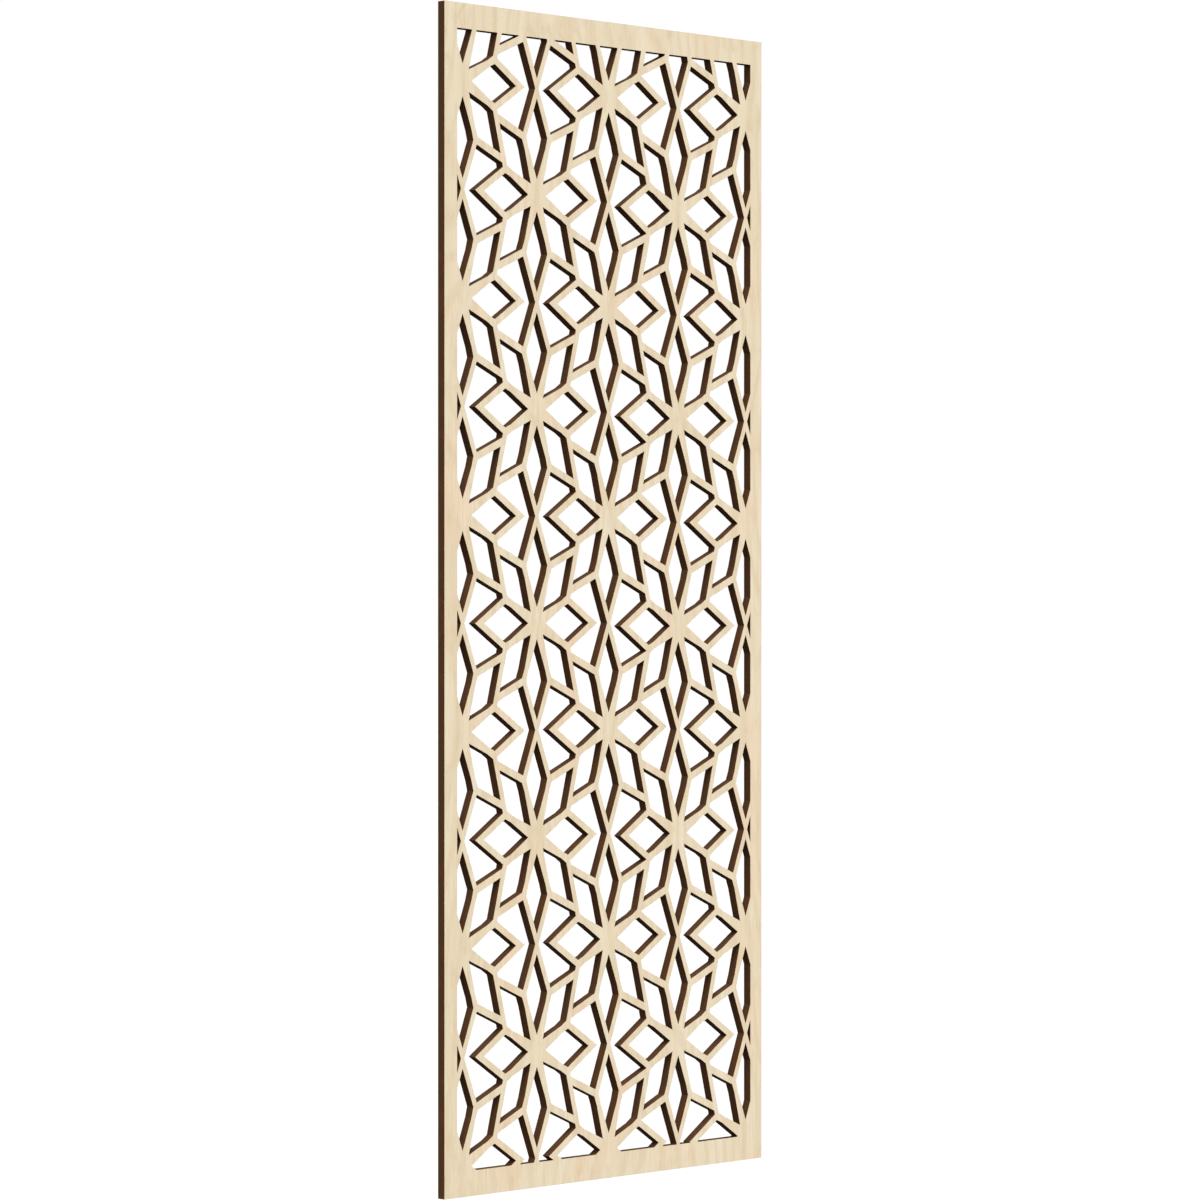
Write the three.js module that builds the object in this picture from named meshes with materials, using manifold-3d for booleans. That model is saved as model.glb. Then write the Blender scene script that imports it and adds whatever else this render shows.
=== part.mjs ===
// Fretwork wall panel: one sheet of plywood, cut right through with a lattice of eight-rayed stars.
// Millimetres, +Z up. The front faces -Y and the back lies in the plane y = 0.
// The origin is on the back, in the middle of the top rail, where the panel is fixed to the wall.

import * as THREE from 'three';
import { mergeVertices } from 'three/addons/utils/BufferGeometryUtils.js';
import Module from 'manifold-3d';

// The sheet and the border left round the pattern
const PANEL_WIDTH = 467;
const PANEL_HEIGHT = 1203;
const PANEL_THICKNESS = 9.5;
const STILE_WIDTH = 17.5;
const TOP_RAIL = 25.7;
const BOTTOM_RAIL = 25.7;

// Where the stars stand. Every second column sits half a row lower than its neighbours.
const COLUMN_PITCH = 104.25;
const ROW_PITCH = 219.04;
// From the panel's top edge to the first star of the middle column
const FIRST_STAR_DROP = 77.65;
// How much lower the columns to the right of the middle one hang
const RIGHT_SIDE_DROP = 3.6;

// Bars: steep ones are measured straight across, shallow ones straight up
const STEEP_BAR = 6.2;
const SHALLOW_BAR = 8.25;
// How far a star's upright kite reaches past the crossing between two stars
const CROSSING_LAP = 6.2;
// From a star's centre to the ends of the four petals round it, on its upright and level lines
const PETAL_ROOT = 7.7;
const PETAL_TIP_SHARE = 0.426;

// Slopes of the pattern before it is squeezed to fit the columns: rays leave a star, blades follow them
const RAY_SLOPE = 1 / 2;
const BLADE_SLOPE = 1 / 3;
// Width of a cell over its height before the squeeze
const CELL_PROPORTION = 1.266;

// How far the cutter runs past each face of the sheet
const CUTTER_RUN_OUT = 2;

const halfRow = ROW_PITCH / 2;
const squeeze = COLUMN_PITCH / (CELL_PROPORTION * halfRow);

// Steep lines run sideways by this much for each step up, shallow ones rise by this much for each step across
const run = { ray: RAY_SLOPE * squeeze, blade: BLADE_SLOPE * squeeze };
const rise = { ray: RAY_SLOPE / squeeze, blade: BLADE_SLOPE / squeeze };

// Outer ends of the bars round a star's upright and level kites
const kiteEnd = { up: halfRow + CROSSING_LAP, across: (halfRow + CROSSING_LAP) * squeeze };

// Two neighbouring stars share one bar, midway between them
const petalSide = (COLUMN_PITCH - run.blade * halfRow - STEEP_BAR) / 2;
const petalTip = PETAL_TIP_SHARE * halfRow;

// Trims of an outline, each keeping what has a * x + b * z under c
const leftOf = (slope, x) => ({ a: 1, b: -slope, c: x });
const rightOf = (slope, x) => ({ a: -1, b: slope, c: -x });
const below = (slope, z) => ({ a: -slope, b: 1, c: z });
const above = (slope, z) => ({ a: slope, b: -1, c: -z });

// What straight trims leave of a rectangle that reaches to the next star each way
function trimmed(trims) {
  let outline = [[-1, -1], [1, -1], [1, 1], [-1, 1]]
    .map(([x, z]) => new THREE.Vector2(x * COLUMN_PITCH, z * ROW_PITCH));
  for (const { a, b, c } of trims) {
    const past = (p) => a * p.x + b * p.y - c;
    outline = outline.flatMap((p, i) => {
      const q = outline[(i + 1) % outline.length];
      const kept = past(p) <= 0 ? [p] : [];
      if (past(p) * past(q) < 0) kept.push(p.clone().lerp(q, past(p) / (past(p) - past(q))));
      return kept;
    });
  }
  return outline;
}

// Kite above a star, between the star and the crossing over it
function uprightKite() {
  return trimmed([
    leftOf(run.ray, -STEEP_BAR),
    rightOf(-run.ray, STEEP_BAR),
    leftOf(run.blade, 0),
    rightOf(-run.blade, 0),
    leftOf(-run.ray, run.ray * kiteEnd.up - STEEP_BAR),
    rightOf(run.ray, STEEP_BAR - run.ray * kiteEnd.up),
  ]);
}

// Kite to the right of a star
function levelKite() {
  return trimmed([
    below(rise.ray, -SHALLOW_BAR),
    above(-rise.ray, SHALLOW_BAR),
    below(rise.blade, 0),
    above(-rise.blade, 0),
    below(-rise.ray, rise.ray * kiteEnd.across - SHALLOW_BAR),
    above(rise.ray, SHALLOW_BAR - rise.ray * kiteEnd.across),
  ]);
}

// The level kite with the bars round it
function levelBars() {
  return trimmed([
    below(rise.ray, 0),
    above(-rise.ray, 0),
    below(-rise.ray, rise.ray * kiteEnd.across),
    above(rise.ray, -rise.ray * kiteEnd.across),
  ]);
}

// Petal up and to the right of a star
function petal() {
  return trimmed([
    above(rise.blade, PETAL_ROOT),
    above(rise.ray, 0),
    leftOf(run.blade, petalSide),
    below(rise.blade, petalTip),
    rightOf(run.ray, 0),
    rightOf(run.blade, PETAL_ROOT * squeeze),
  ]);
}

// Field between a star's right-hand petals and the crossing in the next column, which sits shift higher.
// The star's level bars reach into it and leave an opening shaped like an arrowhead.
function field(shift) {
  const side = petalSide + STEEP_BAR;
  const tie = halfRow - petalTip - SHALLOW_BAR - rise.blade * COLUMN_PITCH;
  const tip = COLUMN_PITCH - run.ray * CROSSING_LAP;
  return trimmed([
    rightOf(run.blade, side),
    rightOf(-run.blade, side),
    below(rise.blade, shift + tie),
    above(-rise.blade, shift - tie),
    leftOf(-run.ray, tip + run.ray * shift),
    leftOf(run.ray, tip - run.ray * shift),
  ]);
}

const panelTop = TOP_RAIL / 2;
const panelBottom = panelTop - PANEL_HEIGHT;
const openingTop = panelTop - TOP_RAIL;
const openingBottom = panelBottom + BOTTOM_RAIL;
const openingSide = PANEL_WIDTH / 2 - STILE_WIDTH;

// Height of a column's first star, with column 0 in the middle of the panel
function firstStar(column) {
  const half = column % 2 === 0 ? 0 : halfRow;
  const drop = column > 0 ? RIGHT_SIDE_DROP : 0;
  return panelTop - FIRST_STAR_DROP - half - drop;
}

// Height of the crossing in the next column, over that column's height half a row from this star
const crossingShift = (column, side) => {
  const apart = firstStar(column + side) - firstStar(column);
  return apart - halfRow * Math.round(apart / halfRow);
};

// The outlines that belong to one star, round its centre
function starOutlines(column) {
  const turned = (outline, x, z) => outline.map((p) => new THREE.Vector2(p.x * x, p.y * z));
  const star = { fields: [], bars: [], openings: [] };
  for (const side of [-1, 1]) {
    star.fields.push(turned(field(crossingShift(column, side)), side, 1));
    star.bars.push(turned(levelBars(), side, 1));
    star.openings.push(turned(uprightKite(), 1, side), turned(levelKite(), side, 1));
    star.openings.push(turned(petal(), side, 1), turned(petal(), side, -1));
  }
  return star;
}

// A cutter for one outline, standing through the sheet
function cutter(outline, x, z) {
  const depth = PANEL_THICKNESS + 2 * CUTTER_RUN_OUT;
  const prism = new THREE.ExtrudeGeometry(new THREE.Shape(outline), { depth, bevelEnabled: false });
  prism.rotateX(Math.PI / 2);
  prism.translate(x, CUTTER_RUN_OUT, z);
  return toSolid(prism);
}

const wasm = await Module();
wasm.setup();

function toSolid(geometry) {
  geometry.deleteAttribute('normal');
  geometry.deleteAttribute('uv');
  const merged = mergeVertices(geometry);
  return new wasm.Manifold(new wasm.Mesh({
    numProp: 3,
    vertProperties: new Float32Array(merged.attributes.position.array),
    triVerts: new Uint32Array(merged.index.array),
  }));
}

function toGeometry(solid) {
  const mesh = solid.getMesh();
  const geometry = new THREE.BufferGeometry();
  geometry.setAttribute('position', new THREE.BufferAttribute(mesh.vertProperties, 3));
  geometry.setIndex(new THREE.BufferAttribute(mesh.triVerts, 1));
  geometry.computeVertexNormals();
  return geometry;
}

// A block between two heights, as wide as twice side, with its front and back at the y values given
function block(side, bottom, top, front, back) {
  const geometry = new THREE.BoxGeometry(2 * side, back - front, top - bottom);
  geometry.translate(0, (front + back) / 2, (bottom + top) / 2);
  return toSolid(geometry);
}

// Every opening of the pattern, trimmed square by the border
function pattern() {
  const columns = Math.ceil(openingSide / COLUMN_PITCH);
  const cutters = { fields: [], bars: [], openings: [] };
  for (let column = -columns; column <= columns; column += 1) {
    const star = starOutlines(column);
    for (let z = firstStar(column) + ROW_PITCH; z > openingBottom - halfRow; z -= ROW_PITCH) {
      for (const kind in star) {
        for (const outline of star[kind]) cutters[kind].push(cutter(outline, column * COLUMN_PITCH, z));
      }
    }
  }
  const joined = (kind) => wasm.Manifold.union(cutters[kind]);
  const front = -PANEL_THICKNESS - CUTTER_RUN_OUT;
  const border = block(openingSide, openingBottom, openingTop, front, CUTTER_RUN_OUT);
  return joined('fields').subtract(joined('bars')).add(joined('openings')).intersect(border);
}

function sheet() {
  return block(PANEL_WIDTH / 2, panelBottom, panelTop, -PANEL_THICKNESS, 0);
}

const veneer = new THREE.MeshStandardMaterial({ color: 0xebd8b8, roughness: 0.6, metalness: 0, flatShading: true });

const panel = new THREE.Mesh(toGeometry(sheet().subtract(pattern())), veneer);
panel.name = 'fretwork_panel';

const fretworkWallPanel = new THREE.Group();
fretworkWallPanel.add(panel);

export default fretworkWallPanel;
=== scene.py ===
"""Looks of the fretwork wall panel: pale veneered plywood, cut right through, its cuts scorched dark brown.

Metres, +Z up. The front faces -Y. The veneer's grain runs up the panel.
"""

import bmesh
import bpy
import math
from mathutils import Matrix, Vector


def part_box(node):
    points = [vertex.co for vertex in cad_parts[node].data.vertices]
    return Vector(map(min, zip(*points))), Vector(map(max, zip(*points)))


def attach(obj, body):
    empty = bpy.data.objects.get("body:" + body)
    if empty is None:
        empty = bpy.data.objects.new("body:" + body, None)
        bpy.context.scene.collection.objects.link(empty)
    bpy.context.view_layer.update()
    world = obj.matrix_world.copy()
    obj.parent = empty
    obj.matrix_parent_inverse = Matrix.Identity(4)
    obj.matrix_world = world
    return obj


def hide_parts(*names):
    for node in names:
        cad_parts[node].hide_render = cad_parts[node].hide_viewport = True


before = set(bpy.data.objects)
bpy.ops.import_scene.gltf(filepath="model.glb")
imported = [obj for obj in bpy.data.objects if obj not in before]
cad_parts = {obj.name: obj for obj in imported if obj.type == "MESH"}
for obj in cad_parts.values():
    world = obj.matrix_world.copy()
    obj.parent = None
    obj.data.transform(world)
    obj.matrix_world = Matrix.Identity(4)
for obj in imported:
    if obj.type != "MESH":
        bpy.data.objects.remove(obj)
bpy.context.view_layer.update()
MM = 0.001

# The panel, read from the frame
PANEL = "fretwork_panel"
low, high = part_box(PANEL)
MIDDLE = (low + high) / 2
THICKNESS = high.y - low.y

# Camera: level, at mid height, with the panel turned half a right angle
CAMERA_AZIMUTH = math.radians(-45)
CAMERA_DISTANCE = 4.542
CAMERA_LENS = 130.7
CAMERA_SENSOR = 36.0
# The panel hangs a little right of the middle of the picture
CAMERA_SIDESTEP = -2.35 * MM

# Eased corners between the faces and the cuts
ARRIS = 0.1 * MM
CORNER_STEPS = 2
# Points of the mesh this near are one point
JOIN = 0.001 * MM
# The solid's front faces look towards the front at least this squarely
SQUARE_ON = 0.9

# Room: the floor lies below the hung panel, and the dome's light is strong above and weak below
FLOOR_GAP = 0.4
FLOOR_SIZE = 80.0
DOME_ABOVE = 1.01
DOME_BELOW = 0.22
# The dome dims between these heights, given in parts of its radius, just under the horizon
DOME_BRIGHT_FROM = -0.03
DOME_DARK_FROM = -0.2
# Soft lamp, in front of the panel, to the left and high up
LAMP_AZIMUTH = math.radians(-52)
LAMP_HEIGHT = math.radians(63)
LAMP_SPREAD = math.radians(34)
LAMP_POWER = 3.7

# Plies of the sheet, front veneer to back veneer
PLIES = 7
# Height of the fine marks that the grain and the cutter leave
MARK_HEIGHT = 0.1 * MM

# Growth rings in a metre
RINGS = 62.0
# Where the heart of the log lies: left of the panel's middle, and behind the sheet at the top rail
HEART_ASIDE = 0.03
HEART_DEPTH = 0.055
# How much deeper it lies a metre further up
HEART_SLANT = 0.045
# How far the grain bends sideways and sways in depth, and how many rings a sway crosses
GRAIN_BEND = 0.34
GRAIN_SWAY = 0.05
RING_SWAY = 1.6
# The veneer's streaks are faint above one height and clear below another, which both sway across it
FAINT_ABOVE = -0.05
CLEAR_BELOW = -0.45
CLEAR_SWAY = 0.5


def color(red, green, blue):
    """A colour given as it shows on screen, from 0 to 255."""
    def linear(part):
        part /= 255
        return part / 12.92 if part <= 0.04045 else ((part + 0.055) / 1.055) ** 2.4
    return (linear(red), linear(green), linear(blue), 1.0)


# Veneer
CREAM = color(237, 221, 191)
PALE = color(247, 236, 213)
STRAW = color(226, 208, 171)
BLUSH = color(240, 212, 181)
FIGURE = color(214, 190, 151)
FLECK = color(176, 142, 104)
# Browned corners, where they are lightest
TOAST = color(188, 150, 108)
# Scorched cuts. EMBER is also the darkest brown of the corners.
CHAR = color(72, 47, 27)
SOOT = color(55, 34, 20)
EMBER = color(88, 56, 32)
# The room's light brings a floor of this pale grey up to plain white
FLOOR_GREY = color(190, 190, 190)
DOME_WHITE = color(255, 255, 255)


class Value:
    """A node's output. Arithmetic on it adds Math nodes."""

    def __init__(self, nodes, socket):
        self.nodes = nodes
        self.socket = socket

    def math(self, operation, *others):
        return self.nodes.node("Math", {"operation": operation}, dict(enumerate((self, *others))))

    def __add__(self, other):
        return self.math("ADD", other)

    def __sub__(self, other):
        return self.math("SUBTRACT", other)

    def __mul__(self, other):
        return self.math("MULTIPLY", other)

    def __rsub__(self, other):
        return self.nodes.node("Math", {"operation": "SUBTRACT"}, {0: other, 1: self})

    __radd__ = __add__
    __rmul__ = __mul__


class Nodes:
    """The node tree of a material or of the room's dome."""

    def __init__(self, owner):
        self.owner = owner
        owner.use_nodes = True
        self.tree = owner.node_tree

    def node(self, kind, settings, sockets, outlet=0):
        """Adds a node, its settings first and then its sockets' values or links, and gives one output."""
        made = self.tree.nodes.new("ShaderNode" + kind)
        for name, setting in settings.items():
            setattr(made, name, setting)
        for name, value in sockets.items():
            self.feed(made.inputs[name], value)
        return Value(self, made.outputs[outlet])

    def feed(self, socket, value):
        if isinstance(value, Value):
            self.tree.links.new(value.socket, socket)
        else:
            socket.default_value = value

    def along(self, axis, measure="Object"):
        """How far along one axis a point lies."""
        return self.node("SeparateXYZ", {}, {"Vector": self.node("TexCoord", {}, {}, measure)}, axis)

    def noise(self, fineness, shift=(0, 0, 0), detail=2.0, roughness=0.5, distortion=0.0):
        """Noise whose fineness is given along each axis, roughly in marks a metre."""
        where = self.node("Mapping", {}, {
            "Vector": self.node("TexCoord", {}, {}, "Object"), "Location": shift, "Scale": fineness,
        })
        return self.node("TexNoise", {}, {
            "Vector": where, "Scale": 1.0, "Detail": detail, "Roughness": roughness, "Distortion": distortion,
        })

    def span(self, value, start, end, first=0.0, last=1.0):
        """Value taken smoothly from start..end to first..last, and held at both ends."""
        return self.node("MapRange", {"interpolation_type": "SMOOTHSTEP"}, {
            "Value": value, "From Min": start, "From Max": end, "To Min": first, "To Max": last,
        })

    def mix(self, amount, tone, other):
        """Two colours mixed. The Mix node's inputs 6 and 7 and output 2 are its colours."""
        return self.node("Mix", {"data_type": "RGBA"}, {0: amount, 6: tone, 7: other}, 2)

    def tint(self, tone, other, most, pattern, start, end):
        """Colour with another laid over it, from none where the pattern is at start to the most at end."""
        return self.mix(self.span(pattern, start, end, 0.0, most), tone, other)

    def bump(self, height, strength):
        sockets = {"Height": height, "Strength": strength, "Distance": MARK_HEIGHT}
        return self.node("Bump", {}, sockets, "Normal")

    def finish(self, tone, roughness, specular, normal=None):
        """Feeds the material's surface, and gives the material."""
        surface = self.tree.nodes["Principled BSDF"].inputs
        self.feed(surface["Base Color"], tone)
        self.feed(surface["Roughness"], roughness)
        self.feed(surface["Specular IOR Level"], specular)
        if normal:
            self.feed(surface["Normal"], normal)
        return self.owner


def material(name):
    return Nodes(bpy.data.materials.new(name))


def flames(s):
    """Growth rings cut at a slant, which show as long flames round the heart of the log. 1 is on a ring."""
    bend = s.noise((3.2, 0, 1.76), (9.92, 0, 2.24)) - 0.5
    sway = s.noise((14, 0, 4.2), (126, 0, 28), detail=1.5) - 0.5
    aside = s.along("X") + bend * GRAIN_BEND + HEART_ASIDE
    depth = s.along("Z") * HEART_SLANT + sway * GRAIN_SWAY + HEART_DEPTH
    ring = (aside * aside + depth * depth).math("SQRT") * RINGS + sway * RING_SWAY
    return s.span((ring * (2 * math.pi)).math("SINE"), -0.1, 1.0)


def veneer():
    """Pale sliced veneer with its grain up the panel."""
    s = material("birch_veneer")

    # Marks along the grain, wide ones to fine ones
    bands = s.noise((30, 0, 1.4), distortion=0.3)
    streaks = s.noise((360, 0, 11), detail=3.0, roughness=0.6)
    threads = s.noise((560, 0, 32), (0.3, 0, 0.6), roughness=0.6)
    dashes = s.noise((620, 0, 55), (0.2, 0, 0.1), detail=1.0)
    fibre = s.noise((1100, 1100, 40), roughness=0.6)
    # Uneven tone, nearly as wide as it is long
    patches = s.noise((14, 0, 9), (0.4, 0, 5.0))
    clouds = s.noise((52, 0, 30), (7.0, 0, 3.0), detail=3.0, roughness=0.6, distortion=0.8)
    # How clearly the streaks show. Where they are faint, the clouds are stronger.
    sway = (s.noise((9, 0, 5)) - 0.5) * CLEAR_SWAY
    clear = s.span(s.along("Z") + sway, FAINT_ABOVE, CLEAR_BELOW, 0.35, 1.0)

    tone = s.mix(0.28, CREAM, s.tint(STRAW, PALE, 1.0, bands, 0.3, 0.7))
    tone = s.tint(tone, BLUSH, 0.55, patches, 0.46, 0.7)
    tone = s.tint(tone, FIGURE, 0.5 - clear * 0.16, clouds, 0.5, 0.72)
    tone = s.mix(flames(s) * s.span(streaks, 0.3, 0.6, 0.0, 0.38), tone, FIGURE)
    tone = s.tint(tone, PALE, clear * 0.42, streaks, 0.48, 0.74)
    tone = s.tint(tone, STRAW, clear * 0.4, streaks, 0.52, 0.28)
    tone = s.tint(tone, FIGURE, clear * 0.45, threads, 0.5, 0.74)
    tone = s.tint(tone, FIGURE, 0.2, fibre, 0.45, 0.8)
    tone = s.tint(tone, FLECK, 0.3, dashes, 0.7, 0.8)

    roughness = s.span(streaks, 0.3, 0.7, 0.52, 0.64)
    return s.finish(tone, roughness, 0.3, s.bump(fibre + streaks * 0.6, 0.12))


def scorched():
    """Cut plywood edge, burnt brown by the cutter, with its plies just showing."""
    s = material("scorched_edge")

    # Each half wave through the sheet is a ply, every second one end grain and darker, with glue between
    plies = (s.along("Y") * (math.pi * PLIES / THICKNESS)).math("SINE")
    glue = s.span(plies.math("ABSOLUTE"), 0.22, 0.0)

    # Marks of the cutter, which run straight through the sheet, and uneven burning
    strokes = s.noise((1400, 30, 1400), roughness=0.6)
    burn = s.noise((60, 90, 60), detail=3.0)

    tone = s.tint(CHAR, SOOT, 0.35, plies, -0.25, 0.25)
    tone = s.mix(glue * 0.25, tone, SOOT)
    tone = s.tint(tone, EMBER, 0.45, burn, 0.45, 0.75)
    tone = s.tint(tone, SOOT, 0.3, strokes, 0.5, 0.8)

    roughness = s.span(burn, 0.3, 0.7, 0.68, 0.82)
    return s.finish(tone, roughness, 0.05, s.bump(strokes - glue * 0.5, 0.3))


def toasted():
    """Eased corner between face and cut, browned unevenly by the cutter."""
    s = material("toasted_arris")
    burn = s.noise((120, 0, 120))
    tone = s.tint(EMBER, TOAST, 0.6, burn, 0.3, 0.7)
    roughness = s.span(burn, 0.3, 0.7, 0.55, 0.65)
    return s.finish(tone, roughness, 0.1, s.bump(burn, 0.1))


# Each surface of the sheet and its place among the piece's materials
FACE, CORNER, CUT = range(3)
SURFACES = (veneer, toasted, scorched)


def toward(azimuth, height):
    """Way from the panel to something round it. Azimuth 0 is straight in front, and height is an angle."""
    level = Vector((math.sin(azimuth), -math.cos(azimuth), 0)) * math.cos(height)
    return level + Vector((0, 0, math.sin(height)))


def look_back(thing, away):
    """Turns a camera or lamp that stands this way from the panel to look back at it."""
    thing.rotation_euler = (-away).to_track_quat("-Z", "Y").to_euler()


def add(name, data):
    """A new object in the scene."""
    thing = bpy.data.objects.new(name, data)
    bpy.context.collection.objects.link(thing)
    return thing


def add_mesh(name, bm, materials):
    """An object made from a finished bmesh."""
    mesh = bpy.data.meshes.new(name)
    bm.to_mesh(mesh)
    bm.free()
    for finish in materials:
        mesh.materials.append(finish)
    return add(name, mesh)


def ease_front(bm):
    """Turns the solid into its front face, with a rounded corner round every cut and the outer edge."""
    bmesh.ops.remove_doubles(bm, verts=bm.verts, dist=JOIN)
    bmesh.ops.delete(bm, geom=[face for face in bm.faces if face.normal.y > -SQUARE_ON], context="FACES")
    flat = bm.faces[:]
    for face in flat:
        face.material_index = FACE

    def recess(depth):
        for vert in {vert for face in flat for vert in face.verts}:
            vert.co.y = low.y + depth

    # The face starts where the corner meets the cut, and comes forward with each ring of the corner
    recess(ARRIS)
    turn = math.pi / 2 / CORNER_STEPS
    for step in range(CORNER_STEPS):
        wide = ARRIS * (math.cos(step * turn) - math.cos((step + 1) * turn))
        ring = bmesh.ops.inset_region(
            bm, faces=flat, thickness=wide, depth=0, use_boundary=True, use_even_offset=True)
        for face in ring["faces"]:
            face.material_index = CORNER
        recess(ARRIS * (1 - math.sin((step + 1) * turn)))


def build_panel(cad):
    """The sheet, made from the solid's front so that its flat faces, eased corners and cuts are apart."""
    bm = bmesh.new()
    bm.from_mesh(cad.data)
    ease_front(bm)

    # Cuts, from the front corner to the middle of the sheet
    rim = [edge for edge in bm.edges if edge.is_boundary]
    for part in bmesh.ops.extrude_edge_only(bm, edges=rim)["geom"]:
        if isinstance(part, bmesh.types.BMVert):
            part.co.y = MIDDLE.y
        elif isinstance(part, bmesh.types.BMFace):
            part.material_index = CUT

    # The back half mirrors the front half
    to_middle = Matrix.Translation((0, -MIDDLE.y, 0))
    bmesh.ops.mirror(bm, geom=bm.verts[:] + bm.edges[:] + bm.faces[:], axis="Y", matrix=to_middle)
    bmesh.ops.remove_doubles(bm, verts=bm.verts, dist=JOIN)
    bmesh.ops.recalc_face_normals(bm, faces=bm.faces)

    piece = add_mesh("panel_sheet", bm, [make() for make in SURFACES])
    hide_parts(PANEL)
    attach(piece, "root")


def place_camera():
    data = bpy.data.cameras.new("camera")
    data.lens = CAMERA_LENS
    data.sensor_width = CAMERA_SENSOR
    data.clip_end = 2 * FLOOR_SIZE
    camera = add("camera", data)
    away = toward(CAMERA_AZIMUTH, 0)
    sideways = Vector((-away.y, away.x, 0))
    aim = Vector((MIDDLE.x, high.y, MIDDLE.z))
    camera.location = aim + CAMERA_DISTANCE * away + CAMERA_SIDESTEP * sideways
    look_back(camera, away)
    bpy.context.scene.camera = camera


def build_floor():
    """A pale floor that the panel's surfaces don't see, so it throws no light up into the cuts."""
    bm = bmesh.new()
    bmesh.ops.create_grid(bm, x_segments=1, y_segments=1, size=FLOOR_SIZE)
    bmesh.ops.translate(bm, verts=bm.verts, vec=(0, 0, low.z - FLOOR_GAP))
    floor = add_mesh("floor", bm, [material("floor_white").finish(FLOOR_GREY, 0.9, 0.0)])
    floor.visible_diffuse = False
    floor.visible_glossy = False


def light_dome():
    """A bright even dome over the panel that falls off below."""
    world = bpy.data.worlds.new("studio")
    bpy.context.scene.world = world
    s = Nodes(world)
    strength = s.span(s.along("Z", "Generated"), DOME_DARK_FROM, DOME_BRIGHT_FROM, DOME_BELOW, DOME_ABOVE)
    light = s.tree.nodes["Background"].inputs
    s.feed(light["Strength"], strength)
    s.feed(light["Color"], DOME_WHITE)


def hang_lamp():
    """One large soft lamp."""
    data = bpy.data.lights.new("soft_lamp", "SUN")
    data.angle = LAMP_SPREAD
    data.energy = LAMP_POWER
    lamp = add("soft_lamp", data)
    away = toward(LAMP_AZIMUTH, LAMP_HEIGHT)
    lamp.location = MIDDLE + CAMERA_DISTANCE * away
    look_back(lamp, away)


bpy.context.scene.view_settings.view_transform = "Standard"
place_camera()
build_panel(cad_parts[PANEL])
build_floor()
light_dome()
hang_lamp()
